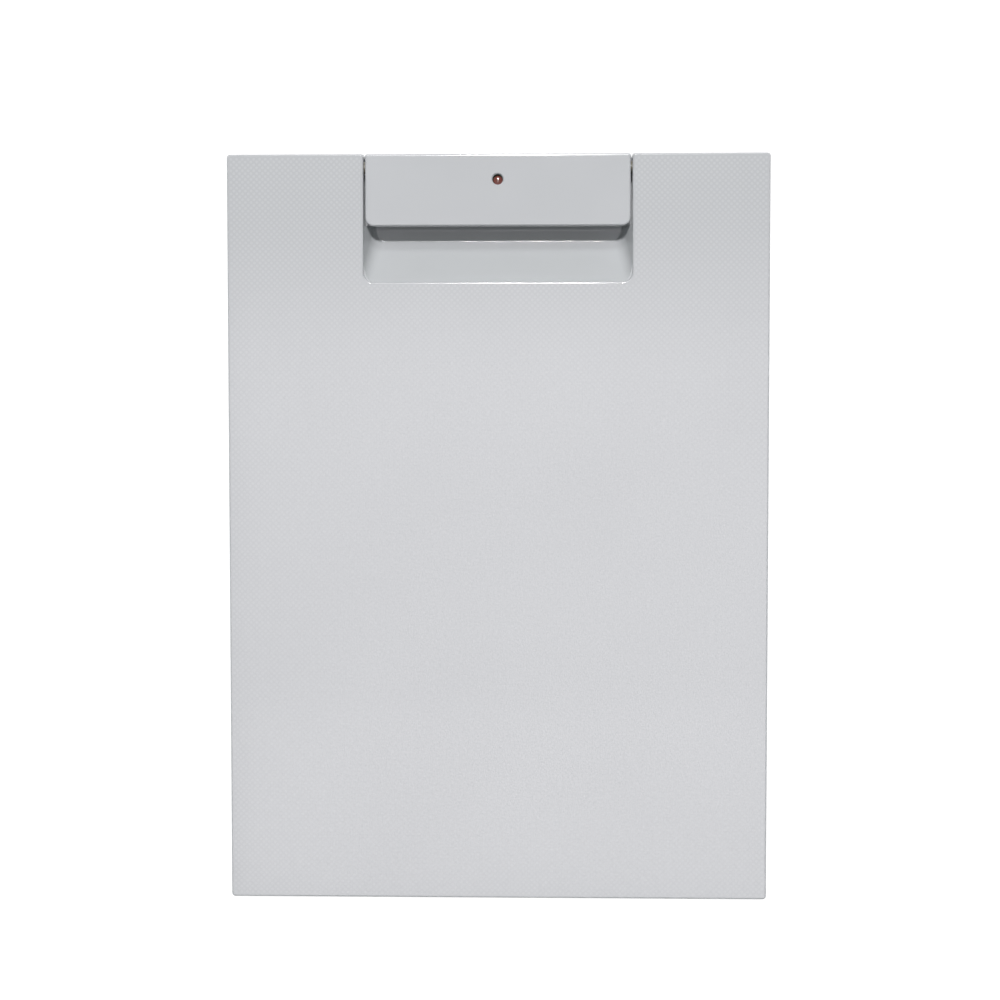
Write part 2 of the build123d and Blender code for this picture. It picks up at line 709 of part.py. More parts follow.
def make_switch_knob():
    foot = board_bottom - switch_height
    x = switch_position - switch_travel / 2
    knob = block(x - knob_half_length, x + knob_half_length, board_centre_y - knob_half_width,
                 board_centre_y + knob_half_width, foot + 1.2 - knob_length, foot + 1.2)
    return chamfer(knob.edges().group_by(Axis.Z)[0], 0.2)


def make_lamp_cover():
    """The cover under the lamp's circuit board, with a slot for the switch knob and two screw ears."""
    foot = frame_bottom - lamp_cover_depth
    half = circuit_board_width / 2 + 1.1
    y0, y1 = board_centre_y - half, board_centre_y + half
    cover = block(-lamp_cover_half_length, lamp_cover_half_length, y0, y1, foot, frame_bottom)
    cover = fillet(cover.edges().filter_by(Axis.Z), 1.0)
    inner = lamp_cover_half_length - lamp_cover_wall
    cover -= block(-inner, inner, y0 + lamp_cover_wall, y1 - lamp_cover_wall, foot + lamp_cover_wall, frame_bottom)
    for side in (-1, 1):
        x0, x1 = sorted((side * inner, side * (lamp_screw_x + 2.6)))
        cover += block(x0, x1, lamp_screw_y - 2.6, lamp_screw_y + 2.6, frame_bottom - 1.2, frame_bottom)
        cover -= pilot(frame_bottom - 1.2, frame_bottom, side * lamp_screw_x, lamp_screw_y)
        r0, r1 = sorted((side * (circuit_board_half_length - 1.6), side * (circuit_board_half_length - 0.6)))
        cover += block(r0, r1, y0 + lamp_cover_wall, y1 - lamp_cover_wall, foot + lamp_cover_wall, board_bottom)
    reach = knob_half_length + switch_travel / 2 + 0.3
    cover -= block(switch_position - reach, switch_position + reach, board_centre_y - knob_half_width - 0.3,
                   board_centre_y + knob_half_width + 0.3, foot, foot + lamp_cover_wall)
    return cover


# ---------------------------------------------------------------- thumb bolt and strike
hook_outer = inner_right - strike_strip - sliding_clearance
hook_inner = hook_outer - 1.7
hook_foot = tray_rim - bolt_hook_depth


def make_thumb_bolt():
    """The sliding bolt: a ridged thumb pad in the lid's window, a guide plate behind it, and two hooks."""
    y_pad = bolt_rest_y
    plate_foot = bolt_pad_z - 0.9
    plate_head = lid_inside - sliding_clearance
    plate_half = bolt_pad_length / 2 + 12.0
    bolt = block(bolt_plate_inner, bolt_plate_outer, y_pad - plate_half, y_pad + plate_half, plate_foot, plate_head)
    pad_out = half_width - 0.9
    pad = block(bolt_plate_outer - 0.1, pad_out, y_pad - bolt_pad_length / 2, y_pad + bolt_pad_length / 2,
                bolt_pad_z, bolt_pad_z + bolt_pad_height)
    bolt += fillet(pad.edges().filter_by(Axis.X), bolt_pad_corner)
    ridge_count = 6
    ridge = 0.8
    for i in range(ridge_count):
        y = y_pad + (i - (ridge_count - 1) / 2) * bolt_pad_length / (ridge_count + 0.5)
        bolt += block(pad_out - 0.1, half_width - 0.15, y - ridge / 2, y + ridge / 2, bolt_pad_z + 0.3,
                      bolt_pad_z + bolt_pad_height - 0.3)
    for y in bolt_hook_positions:
        start = y + y_pad
        bolt += block(hook_inner, hook_outer, start, start + bolt_hook_width, hook_foot, plate_foot + 2.0)
        bolt += block(hook_inner, hook_outer, start, start + bolt_hook_width + bolt_toe_length, hook_foot,
                      hook_foot + bolt_toe_height)
    return bolt


def make_strike():
    """The strike in the tray: a strip on the right wall with a tab over each locked toe, and two screw ears."""
    strip_top = tray_rim - 0.3
    strike = block(inner_right - strike_strip, inner_right, strike_boss_y[0] - 4, strike_boss_y[1] + 4,
                   strike_ear_bottom, strip_top)
    for y in bolt_hook_positions:
        tab_y0 = y + bolt_rest_y + bolt_hook_width + bolt_toe_length + 1.0
        tab_y1 = tab_y0 + bolt_toe_length
        tab_z0 = hook_foot + bolt_toe_height + sliding_clearance
        strike += block(hook_inner - 0.3, inner_right - strike_strip, tab_y0 + 0.2, tab_y1, tab_z0, strip_top)
    for y in strike_boss_y:
        strike += block(strike_boss_x - 3.5, inner_right, y - 4, y + 4, strike_ear_bottom, strike_ear_bottom + 1.2)
        strike -= pilot(strike_ear_bottom, strike_ear_bottom + 1.2, strike_boss_x, y)
    return strike


# ---------------------------------------------------------------- screws
def make_housing_screws():
    foot = housing_tab_top - housing_tab_thickness
    return group(screw_up(side * housing_boss_x, y, foot, 6.0) for side in (-1, 1) for y in housing_tab_y)


def make_frame_screws():
    return group(screw_up(side * x, y, frame_bottom, 3.4) for side in (-1, 1) for x, y in frame_screws)


def make_lamp_cover_screws():
    return group(screw_up(side * lamp_screw_x, lamp_screw_y, frame_bottom - 1.2, 3.2) for side in (-1, 1))


def make_strike_screws():
    return group(screw_down(strike_boss_x, y, strike_ear_bottom + 1.2, 4.4) for y in strike_boss_y)


# ---------------------------------------------------------------- write one file per piece
def main():
    pieces = {
        "lid_cover": make_lid_cover(),
        "clip_housing": make_clip_housing(),
        "housing_screws": make_housing_screws(),
        "pivot_bush_left": make_pivot_bush(-1),
        "pivot_bush_right": make_pivot_bush(1),
        "clip_pin": make_clip_pin(),
        "floor_pad": make_floor_pad(),
        "clip_plate": make_clip_plate(),
        "clip_frame": make_clip_frame(),
        "frame_screws": make_frame_screws(),
        "jaw_pad": make_jaw_pad(),
        "torsion_spring_left": make_torsion_spring(-1),
        "torsion_spring_right": make_torsion_spring(1),
        "indicator_led": make_indicator_led(),
        "lamp_board": make_lamp_board(),
        "button_cells": make_button_cells(),
        "cell_strap": make_cell_strap(),
        "lamp_switch": make_lamp_switch(),
        "switch_knob": make_switch_knob(),
        "lamp_cover": make_lamp_cover(),
        "lamp_cover_screws": make_lamp_cover_screws(),
        "thumb_bolt": make_thumb_bolt(),
        "tray": make_tray(),
        "hinge_rod": make_hinge_rod(),
        "strike": make_strike(),
        "strike_screws": make_strike_screws(),
        "rubber_feet": make_rubber_feet(),
    }
    os.makedirs("parts", exist_ok=True)
    for name, shape in pieces.items():
        export_step(shape, f"parts/{name}.step")


main()
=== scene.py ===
import math

import bmesh
import bpy
from mathutils import Matrix, Vector


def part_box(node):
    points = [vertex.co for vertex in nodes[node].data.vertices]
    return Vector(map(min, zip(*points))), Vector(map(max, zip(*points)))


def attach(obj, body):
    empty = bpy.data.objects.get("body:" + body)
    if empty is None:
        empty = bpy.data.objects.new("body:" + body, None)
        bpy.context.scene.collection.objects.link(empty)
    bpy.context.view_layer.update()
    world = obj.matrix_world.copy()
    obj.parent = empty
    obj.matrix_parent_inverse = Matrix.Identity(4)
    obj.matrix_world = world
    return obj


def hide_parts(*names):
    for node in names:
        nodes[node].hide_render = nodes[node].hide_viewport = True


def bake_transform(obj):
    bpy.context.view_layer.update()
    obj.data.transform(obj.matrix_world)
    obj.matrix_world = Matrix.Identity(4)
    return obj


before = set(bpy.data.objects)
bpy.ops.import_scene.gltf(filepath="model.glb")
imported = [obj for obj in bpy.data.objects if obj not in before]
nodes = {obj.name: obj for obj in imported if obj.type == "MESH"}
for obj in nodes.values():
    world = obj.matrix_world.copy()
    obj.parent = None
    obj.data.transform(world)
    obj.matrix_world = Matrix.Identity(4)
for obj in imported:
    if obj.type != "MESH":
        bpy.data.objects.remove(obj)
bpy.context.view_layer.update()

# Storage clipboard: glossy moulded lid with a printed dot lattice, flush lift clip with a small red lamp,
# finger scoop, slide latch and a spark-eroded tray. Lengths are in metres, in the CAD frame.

MM = 0.001
X, Y, Z = Vector((1, 0, 0)), Vector((0, 1, 0)), Vector((0, 0, 1))


# ------------------------------------------------------------------ colour and nodes
def linear(hex_colour):
    """An sRGB hex colour as linear RGBA."""
    channels = [int(hex_colour[i:i + 2], 16) / 255 for i in (1, 3, 5)]
    return [c / 12.92 if c <= 0.04045 else ((c + 0.055) / 1.055) ** 2.4 for c in channels] + [1.0]


def add(tree, kind, inputs=None, **settings):
    """Adds a shader node: settings are its properties, inputs its values or the sockets linked into it."""
    node = tree.nodes.new("ShaderNode" + kind)
    for key, value in settings.items():
        setattr(node, key, value)
    for key, value in (inputs or {}).items():
        if isinstance(value, bpy.types.NodeSocket):
            tree.links.new(value, node.inputs[key])
        else:
            node.inputs[key].default_value = value
    return node


def new_material(name, **shader):
    """A material with one Principled shader and its uniform values. Returns it, its tree and the shader."""
    material = bpy.data.materials.new(name)
    material.use_nodes = True
    tree = material.node_tree
    tree.nodes.clear()
    principled = add(tree, "BsdfPrincipled", {key.replace("_", " "): value for key, value in shader.items()})
    add(tree, "OutputMaterial", {"Surface": principled.outputs["BSDF"]})
    return material, tree, principled


# ------------------------------------------------------------------ materials
dot_pitch = 1.72 * MM           # between neighbours in the lattice, which stands on its corner
dot_radius = 0.56 * MM
plain_rim = 1.3 * MM            # no dots this near to an edge
lid_half_width = 115 * MM
lid_half_length = 159 * MM
notch_half_width = 56.9 * MM
notch_foot = 105 * MM
face_from, face_to = 21.75 * MM, 21.95 * MM     # the heights between which the dots fade in


def dotted_gloss_abs():
    """Injection-moulded ABS from a polished tool, with a printed lattice under lacquer on its upper face.

    The lacquer is mirror-like and slightly wavy. The satin dots are paler, with thinner lacquer, so they show
    most where nothing bright is mirrored.
    """
    material, tree, shader = new_material("gloss_moulded_abs_dotted", IOR=1.5, Specular_IOR_Level=0.2,
                                          Coat_Roughness=0.09, Coat_IOR=1.55)
    place = add(tree, "TexCoord").outputs["Object"]
    flow = add(tree, "TexNoise", {"Vector": place, "Scale": 1 / (70 * MM), "Detail": 3.0}).outputs["Fac"]
    flow = add(tree, "MapRange", {"Value": flow, "From Min": 0.3, "From Max": 0.7}).outputs["Result"]
    plain = add(tree, "Mix", {0: flow, 6: linear("#bdbfc4"), 7: linear("#c0c2c7")},
                data_type="RGBA").outputs[2]
    # printed dots, only on the upper face
    diagonal = add(tree, "Mapping", {"Vector": place, "Rotation": (0, 0, math.radians(45))}).outputs["Vector"]
    lattice = add(tree, "TexVoronoi", {"Vector": diagonal, "Scale": 1 / dot_pitch, "Randomness": 0.0},
                  voronoi_dimensions="2D").outputs["Distance"]
    edge = dot_radius / dot_pitch
    dot = add(tree, "MapRange", {"Value": lattice, "From Min": edge * 0.6, "From Max": edge * 1.3,
                                 "To Min": 1.0, "To Max": 0.0},
              interpolation_type="SMOOTHSTEP").outputs["Result"]
    where = add(tree, "SeparateXYZ", {0: place}).outputs
    sideways = add(tree, "Math", {0: where["X"]}, operation="ABSOLUTE").outputs[0]
    lengthways = add(tree, "Math", {0: where["Y"]}, operation="ABSOLUTE").outputs[0]
    face = add(tree, "MapRange", {"Value": where["Z"], "From Min": face_from, "From Max": face_to})
    wide = add(tree, "Math", {0: sideways, 1: lid_half_width - plain_rim}, operation="LESS_THAN").outputs[0]
    long = add(tree, "Math", {0: lengthways, 1: lid_half_length - plain_rim},
               operation="LESS_THAN").outputs[0]
    beside = add(tree, "Math", {0: sideways, 1: notch_half_width + plain_rim},
                 operation="GREATER_THAN").outputs[0]
    below = add(tree, "Math", {0: where["Y"], 1: notch_foot - plain_rim}, operation="LESS_THAN").outputs[0]
    off_notch = add(tree, "Math", {0: beside, 1: below}, operation="MAXIMUM").outputs[0]
    for mask in (face.outputs["Result"], wide, long, off_notch):
        dot = add(tree, "Math", {0: dot, 1: mask}, operation="MULTIPLY").outputs[0]
    tint = add(tree, "Math", {0: dot, 1: 0.08}, operation="MULTIPLY").outputs[0]
    lacquer = add(tree, "MapRange", {"Value": dot, "To Min": 0.82, "To Max": 0.62}).outputs["Result"]
    colour = add(tree, "Mix", {0: tint, 6: plain, 7: linear("#eceef0")}, data_type="RGBA").outputs[2]
    rough = add(tree, "MapRange", {"Value": dot, "To Min": 0.26, "To Max": 0.46}).outputs["Result"]
    peel = add(tree, "TexNoise", {"Vector": place, "Scale": 1 / (9 * MM), "Detail": 2.0, "Roughness": 0.45})
    waves = add(tree, "Bump", {"Height": peel.outputs["Fac"], "Distance": 0.010 * MM}).outputs["Normal"]
    raised = add(tree, "Bump", {"Height": dot, "Distance": 0.006 * MM, "Normal": waves}).outputs["Normal"]
    tree.links.new(colour, shader.inputs["Base Color"])
    tree.links.new(rough, shader.inputs["Roughness"])
    tree.links.new(lacquer, shader.inputs["Coat Weight"])
    tree.links.new(raised, shader.inputs["Normal"])
    tree.links.new(waves, shader.inputs["Coat Normal"])
    return material


def gloss_abs(name, hex_colour, pale_colour, rough):
    """Injection-moulded ABS from a polished tool: mirror-like, slightly wavy, with a faint flow shade."""
    material, tree, shader = new_material(name, IOR=1.5, Specular_IOR_Level=0.3, Coat_Weight=0.6,
                                          Coat_Roughness=0.06)
    place = add(tree, "TexCoord").outputs["Object"]
    flow = add(tree, "TexNoise", {"Vector": place, "Scale": 1 / (60 * MM), "Detail": 3.0}).outputs["Fac"]
    flow = add(tree, "MapRange", {"Value": flow, "From Min": 0.3, "From Max": 0.7}).outputs["Result"]
    colour = add(tree, "Mix", {0: flow, 6: linear(hex_colour), 7: linear(pale_colour)},
                 data_type="RGBA").outputs[2]
    handled = add(tree, "TexNoise", {"Vector": place, "Scale": 1 / (22 * MM), "Detail": 4.0}).outputs["Fac"]
    handled = add(tree, "MapRange", {"Value": handled, "From Min": 0.35, "From Max": 0.75, "To Min": rough,
                                     "To Max": rough + 0.06}).outputs["Result"]
    peel = add(tree, "TexNoise", {"Vector": place, "Scale": 1 / (9 * MM), "Detail": 2.0, "Roughness": 0.45})
    waves = add(tree, "Bump", {"Height": peel.outputs["Fac"], "Distance": 0.008 * MM}).outputs["Normal"]
    tree.links.new(colour, shader.inputs["Base Color"])
    tree.links.new(handled, shader.inputs["Roughness"])
    tree.links.new(waves, shader.inputs["Normal"])
    return material


def eroded_abs(name, hex_colour, pale_colour):
    """Moulded ABS from a spark-eroded tool: an even fine grain, drawn coarser than real so that it shows."""
    material, tree, shader = new_material(name, IOR=1.53)
    place = add(tree, "TexCoord").outputs["Object"]
    shade = add(tree, "TexNoise", {"Vector": place, "Scale": 1 / (45 * MM), "Detail": 3.0}).outputs["Fac"]
    shade = add(tree, "MapRange", {"Value": shade, "From Min": 0.3, "From Max": 0.7}).outputs["Result"]
    colour = add(tree, "Mix", {0: shade, 6: linear(hex_colour), 7: linear(pale_colour)},
                 data_type="RGBA").outputs[2]
    rough = add(tree, "MapRange", {"Value": shade, "To Min": 0.46, "To Max": 0.56}).outputs["Result"]
    grain = add(tree, "TexNoise", {"Vector": place, "Scale": 1 / (0.45 * MM), "Detail": 3.0,
                                   "Roughness": 0.6})
    pits = add(tree, "Bump", {"Height": grain.outputs["Fac"], "Distance": 0.05 * MM}).outputs["Normal"]
    tree.links.new(colour, shader.inputs["Base Color"])
    tree.links.new(rough, shader.inputs["Roughness"])
    tree.links.new(pits, shader.inputs["Normal"])
    return material


def satin_moulding(name, hex_colour, worn_colour, rough, glow=0.0):
    """A small satin moulding, slightly uneven from sink and handling; glow lets light a little way in."""
    material, tree, shader = new_material(name, IOR=1.49, Subsurface_Weight=glow, Subsurface_Scale=0.6 * MM)
    place = add(tree, "TexCoord").outputs["Object"]
    wear = add(tree, "TexNoise", {"Vector": place, "Scale": 1 / (4 * MM), "Detail": 4.0, "Roughness": 0.6})
    wear = add(tree, "MapRange", {"Value": wear.outputs["Fac"], "From Min": 0.35,
                                  "From Max": 0.7}).outputs["Result"]
    colour = add(tree, "Mix", {0: wear, 6: linear(hex_colour), 7: linear(worn_colour)},
                 data_type="RGBA").outputs[2]
    dull = add(tree, "MapRange", {"Value": wear, "To Min": rough - 0.06,
                                  "To Max": rough + 0.08}).outputs["Result"]
    grain = add(tree, "TexNoise", {"Vector": place, "Scale": 1 / (0.8 * MM), "Detail": 3.0}).outputs["Fac"]
    skin = add(tree, "Bump", {"Height": grain, "Distance": 0.012 * MM}).outputs["Normal"]
    tree.links.new(colour, shader.inputs["Base Color"])
    tree.links.new(dull, shader.inputs["Roughness"])
    tree.links.new(skin, shader.inputs["Normal"])
    return material


def worked_steel(name, bright_colour, dull_colour, rough, stretch, line):
    """Steel with fine lines from drawing, rolling or turning: line is their spacing, stretch how they run."""
    material, tree, shader = new_material(name, Metallic=1.0)
    place = add(tree, "TexCoord").outputs["Object"]
    drawn = add(tree, "Mapping", {"Vector": place, "Scale": stretch}).outputs["Vector"]
    lines = add(tree, "TexNoise", {"Vector": drawn, "Scale": 1 / line, "Detail": 3.0, "Roughness": 0.6})
    lines = lines.outputs["Fac"]
    share = add(tree, "MapRange", {"Value": lines, "From Min": 0.3, "From Max": 0.7}).outputs["Result"]
    colour = add(tree, "Mix", {0: share, 6: linear(dull_colour), 7: linear(bright_colour)}, data_type="RGBA")
    dull = add(tree, "MapRange", {"Value": share, "To Min": rough - 0.08,
                                  "To Max": rough + 0.1}).outputs["Result"]
    grooves = add(tree, "Bump", {"Height": lines, "Distance": 0.006 * MM}).outputs["Normal"]
    tree.links.new(colour.outputs[2], shader.inputs["Base Color"])
    tree.links.new(dull, shader.inputs["Roughness"])
    tree.links.new(grooves, shader.inputs["Normal"])
    return material


def moulded_rubber(name, hex_colour):
    """Moulded rubber: dark, dull, with a fine leathery skin and a little bloom."""
    material, tree, shader = new_material(name, IOR=1.52)
    place = add(tree, "TexCoord").outputs["Object"]
    bloom = add(tree, "TexNoise", {"Vector": place, "Scale": 1 / (6 * MM), "Detail": 4.0, "Roughness": 0.65})
    bloom = add(tree, "MapRange", {"Value": bloom.outputs["Fac"], "From Min": 0.4, "From Max": 0.8})
    bloom = bloom.outputs["Result"]
    colour = add(tree, "Mix", {0: bloom, 6: linear(hex_colour), 7: linear("#55565a")},
                 data_type="RGBA").outputs[2]
    dull = add(tree, "MapRange", {"Value": bloom, "To Min": 0.72, "To Max": 0.9}).outputs["Result"]
    skin = add(tree, "TexNoise", {"Vector": place, "Scale": 1 / (0.3 * MM), "Detail": 3.0, "Roughness": 0.6})
    skin = add(tree, "Bump", {"Height": skin.outputs["Fac"], "Distance": 0.03 * MM}).outputs["Normal"]
    tree.links.new(colour, shader.inputs["Base Color"])
    tree.links.new(dull, shader.inputs["Roughness"])
    tree.links.new(skin, shader.inputs["Normal"])
    return material


def dyed_epoxy():
    """Cast epoxy, dyed brownish red and diffused: clear glossy skin, cloudy inside."""
    material, tree, shader = new_material("cast_epoxy_dyed_red", Roughness=0.08, IOR=1.54,
                                          Subsurface_Weight=0.15, Subsurface_Scale=0.5 * MM,
                                          Coat_Weight=1.0, Coat_Roughness=0.05)
    place = add(tree, "TexCoord").outputs["Object"]
    cloud = add(tree, "TexNoise", {"Vector": place, "Scale": 1 / (0.7 * MM), "Detail": 3.0}).outputs["Fac"]
    share = add(tree, "MapRange", {"Value": cloud, "From Min": 0.3, "From Max": 0.7}).outputs["Result"]
    colour = add(tree, "Mix", {0: share, 6: linear("#6e403b"), 7: linear("#7e4f48")},
                 data_type="RGBA").outputs[2]
    meniscus = add(tree, "Bump", {"Height": cloud, "Distance": 0.001 * MM}).outputs["Normal"]
    tree.links.new(colour, shader.inputs["Base Color"])
    tree.links.new(meniscus, shader.inputs["Normal"])
    return material


def masked_laminate():
    """Glass-epoxy board: green solder mask over a faint weave, with raised copper tracks under the mask."""
    material, tree, shader = new_material("solder_masked_laminate", Roughness=0.3, IOR=1.5)
    place = add(tree, "TexCoord").outputs["Object"]
    weave = add(tree, "TexWave", {"Vector": place, "Scale": 1 / (2.4 * MM), "Distortion": 0.4}).outputs["Fac"]
    track = add(tree, "TexBrick", {"Vector": place, "Scale": 1 / (5 * MM), "Mortar Size": 0.05,
                                   "Mortar Smooth": 0.1}).outputs["Fac"]
    colour = add(tree, "Mix", {0: track, 6: linear("#1c5a34"), 7: linear("#2f7d4b")},
                 data_type="RGBA").outputs[2]
    faint = add(tree, "MapRange", {"Value": weave, "To Max": 0.12}).outputs["Result"]
    colour = add(tree, "Mix", {0: faint, 6: colour, 7: linear("#123d25")}, data_type="RGBA").outputs[2]
    raised = add(tree, "Bump", {"Height": track, "Distance": 0.03 * MM}).outputs["Normal"]
    tree.links.new(colour, shader.inputs["Base Color"])
    tree.links.new(raised, shader.inputs["Normal"])
    return material


clip_finish = gloss_abs("gloss_moulded_abs_clip", "#bfc1c6", "#c2c4c9", 0.16)
housing_finish = gloss_abs("gloss_moulded_abs_housing", "#b6b9bd", "#b9bcc0", 0.16)
lid_finish = dotted_gloss_abs()
tray_finish = eroded_abs("spark_eroded_abs", "#919499", "#96999e")
inner_finish = satin_moulding("satin_moulded_abs", "#7c7f84", "#888b90", 0.48)
acetal_finish = satin_moulding("moulded_acetal_dark_grey", "#4c4f53", "#595c60", 0.40)
black_finish = satin_moulding("moulded_nylon_black", "#1b1c1e", "#242528", 0.42)
bush_finish = satin_moulding("moulded_nylon_oiled", "#6f6c62", "#7d7a70", 0.38, glow=0.15)
pad_finish = moulded_rubber("moulded_rubber_pad", "#26272a")
foot_finish = moulded_rubber("moulded_rubber_foot", "#2b2c2e")
rod_finish_y = worked_steel("drawn_steel_rod_along_y", "#b9bbbd", "#85878a", 0.26, (1, 0.02, 1), 0.12 * MM)
rod_finish_x = worked_steel("drawn_steel_rod_along_x", "#b9bbbd", "#85878a", 0.26, (0.02, 1, 1), 0.12 * MM)
screw_finish = worked_steel("zinc_plated_steel", "#b7babd", "#94979f", 0.33, (1, 1, 1), 0.6 * MM)
spring_finish = worked_steel("spring_steel_wire", "#8e9092", "#66686a", 0.30, (1, 1, 1), 0.10 * MM)
cell_finish = worked_steel("nickel_plated_can", "#c9c6bf", "#aaa79f", 0.24, (1, 1, 1), 0.3 * MM)
strap_finish = worked_steel("rolled_steel_strip", "#a9abad", "#7d7f81", 0.30, (0.05, 1, 1), 0.12 * MM)
lamp_finish = dyed_epoxy()
board_finish = masked_laminate()

finish_of = {
    "lid_cover": lid_finish, "clip_housing": housing_finish, "clip_plate": clip_finish, "tray": tray_finish,
    "clip_frame": inner_finish, "lamp_cover": inner_finish, "thumb_bolt": acetal_finish,
    "strike": acetal_finish, "lamp_switch": black_finish, "switch_knob": black_finish,
    "pivot_bush_left": bush_finish, "pivot_bush_right": bush_finish, "floor_pad": pad_finish,
    "jaw_pad": pad_finish, "rubber_feet": foot_finish, "clip_pin": rod_finish_x, "hinge_rod": rod_finish_y,
    "housing_screws": screw_finish, "frame_screws": screw_finish, "lamp_cover_screws": screw_finish,
    "strike_screws": screw_finish,
    "torsion_spring_left": spring_finish, "torsion_spring_right": spring_finish,
    "button_cells": cell_finish, "cell_strap": strap_finish, "lamp_board": board_finish,
    "indicator_led": lamp_finish,
}


def give_finish(piece, material):
    piece.data.materials.clear()
    piece.data.materials.append(material)


for name, node in nodes.items():
    give_finish(node, finish_of[name])


# ------------------------------------------------------------------ pieces that stand for CAD nodes
def islands(node):
    """The (lowest, highest) corners of each separate solid in a CAD node."""
    shape = bmesh.new()
    shape.from_mesh(node.data)
    bmesh.ops.remove_doubles(shape, verts=shape.verts, dist=0.001 * MM)
    found, seen = [], set()
    for seed in shape.verts:
        if seed in seen:
            continue
        seen.add(seed)
        group, waiting = [], [seed]
        while waiting:
            corner = waiting.pop()
            group.append(corner.co.copy())
            for edge in corner.link_edges:
                other = edge.other_vert(corner)
                if other not in seen:
                    seen.add(other)
                    waiting.append(other)
        found.append((Vector([min(c[i] for c in group) for i in range(3)]),
                      Vector([max(c[i] for c in group) for i in range(3)])))
    shape.free()
    return found


def finish_piece(shape, name, material, smooth_below=40):
    """Makes the bmesh an object at the origin: doubles merged, faces outward, sharp corners kept sharp."""
    bmesh.ops.remove_doubles(shape, verts=shape.verts, dist=0.002 * MM)
    bmesh.ops.recalc_face_normals(shape, faces=shape.faces)
    for face in shape.faces:
        face.smooth = True
    for edge in shape.edges:
        edge.smooth = edge.is_manifold and edge.calc_face_angle(0) < math.radians(smooth_below)
    mesh = bpy.data.meshes.new(name)
    shape.to_mesh(mesh)
    shape.free()
    piece = bpy.data.objects.new(name, mesh)
    bpy.context.scene.collection.objects.link(piece)
    give_finish(piece, material)
    return piece


def turned(shape, outline, centre, steps):
    """Spins an outline of (radius, height) points about the upright axis through centre."""
    corners = [shape.verts.new(centre + Vector((radius, 0, height))) for radius, height in outline]
    lines = [shape.edges.new(pair) for pair in zip(corners, corners[1:])]
    bmesh.ops.spin(shape, geom=corners + lines, cent=centre, axis=Z, angle=math.tau, steps=steps,
                   use_merge=True)


head_radius, head_height = 1.9 * MM, 1.2 * MM       # of every screw


def grown_rim(screw, rim):
    """Extrudes a rim of edges in place. Returns the new rim's edges and its corners."""
    grown = bmesh.ops.extrude_edge_only(screw, edges=rim)["geom"]
    rim = [part for part in grown if isinstance(part, bmesh.types.BMEdge)]
    return rim, {corner for edge in rim for corner in edge.verts}


def set_ring(corners, radius, height):
    """Moves corners straight in or out to a ring about the upright axis."""
    for corner in corners:
        flat = Vector((corner.co.x, corner.co.y, 0)).normalized() * radius
        corner.co = Vector((flat.x, flat.y, height))


def cross_recess_screw(shape, centre, length, turn, head_up):
    """A pan-head screw with its seat at centre: domed head, cross recess, threaded shank with a point."""
    shank_radius = 1.0 * MM
    screw = bmesh.new()
    bmesh.ops.create_circle(screw, cap_ends=True, segments=24, radius=0.86 * head_radius,
                            matrix=Matrix.Translation((0, 0, head_height)))
    half, arm = 0.24 * MM, 1.15 * MM        # of the cross: half its slots' width, and their reach
    for place in (half, arm):
        for across in (X, Y):
            for side in (1, -1):
                bmesh.ops.bisect_plane(screw, geom=screw.verts[:] + screw.edges[:] + screw.faces[:],
                                       plane_co=across * place * side, plane_no=across)
    cross = []
    for face in screw.faces:
        middle = face.calc_center_median()
        x, y = abs(middle.x), abs(middle.y)
        if (x < half and y < arm) or (y < half and x < arm):
            cross.append(face)
    sunk = bmesh.ops.extrude_face_region(screw, geom=cross)["geom"]
    bmesh.ops.delete(screw, geom=cross, context="FACES_ONLY")
    for part in sunk:
        if isinstance(part, bmesh.types.BMVert):
            part.co.x *= 0.62
            part.co.y *= 0.62
            part.co.z -= 0.7 * MM
    rim = [edge for edge in screw.edges if edge.is_boundary]
    for radius, height in ((head_radius * 0.97, head_height * 0.72), (head_radius, head_height * 0.3),
                           (head_radius * 0.98, 0), (shank_radius, 0)):
        rim, corners = grown_rim(screw, rim)
        set_ring(corners, radius, height)
    pitch, root, point = 0.45 * MM, 0.8 * shank_radius, 1.2 * MM
    z = 0.0
    while z > -(length - point):
        for radius, drop in ((shank_radius, 0.45 * pitch), (root, 0.55 * pitch)):
            z -= drop
            rim, corners = grown_rim(screw, rim)
            set_ring(corners, radius, z)
    rim, corners = grown_rim(screw, rim)
    for corner in corners:
        corner.co = Vector((corner.co.x * 0.3, corner.co.y * 0.3, -length))
    bmesh.ops.holes_fill(screw, edges=[edge for edge in screw.edges if edge.is_boundary], sides=0)
    if not head_up:
        bmesh.ops.rotate(screw, verts=screw.verts, matrix=Matrix.Rotation(math.pi, 3, "X"))
    bmesh.ops.rotate(screw, verts=screw.verts, matrix=Matrix.Rotation(turn, 3, "Z"))
    bmesh.ops.translate(screw, verts=screw.verts, vec=centre)
    spare = bpy.data.meshes.new("screw_draft")
    screw.to_mesh(spare)
    screw.free()
    shape.from_mesh(spare)
    bpy.data.meshes.remove(spare)


for name, body, head_up in (("housing_screws", "lid", False), ("frame_screws", "clip", False),
                            ("lamp_cover_screws", "clip", False), ("strike_screws", "tray", True)):
    shape = bmesh.new()
    for index, (low, high) in enumerate(islands(nodes[name])):
        seat = high.z - head_height if head_up else low.z + head_height
        centre = Vector(((low.x + high.x) / 2, (low.y + high.y) / 2, seat))
        length = (seat - low.z if head_up else high.z - seat) - 0.05 * MM
        cross_recess_screw(shape, centre, length, turn=0.4 + 1.1 * index, head_up=head_up)
    screws = finish_piece(shape, name + "_turned", screw_finish, 35)
    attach(screws, body)
    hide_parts(name)

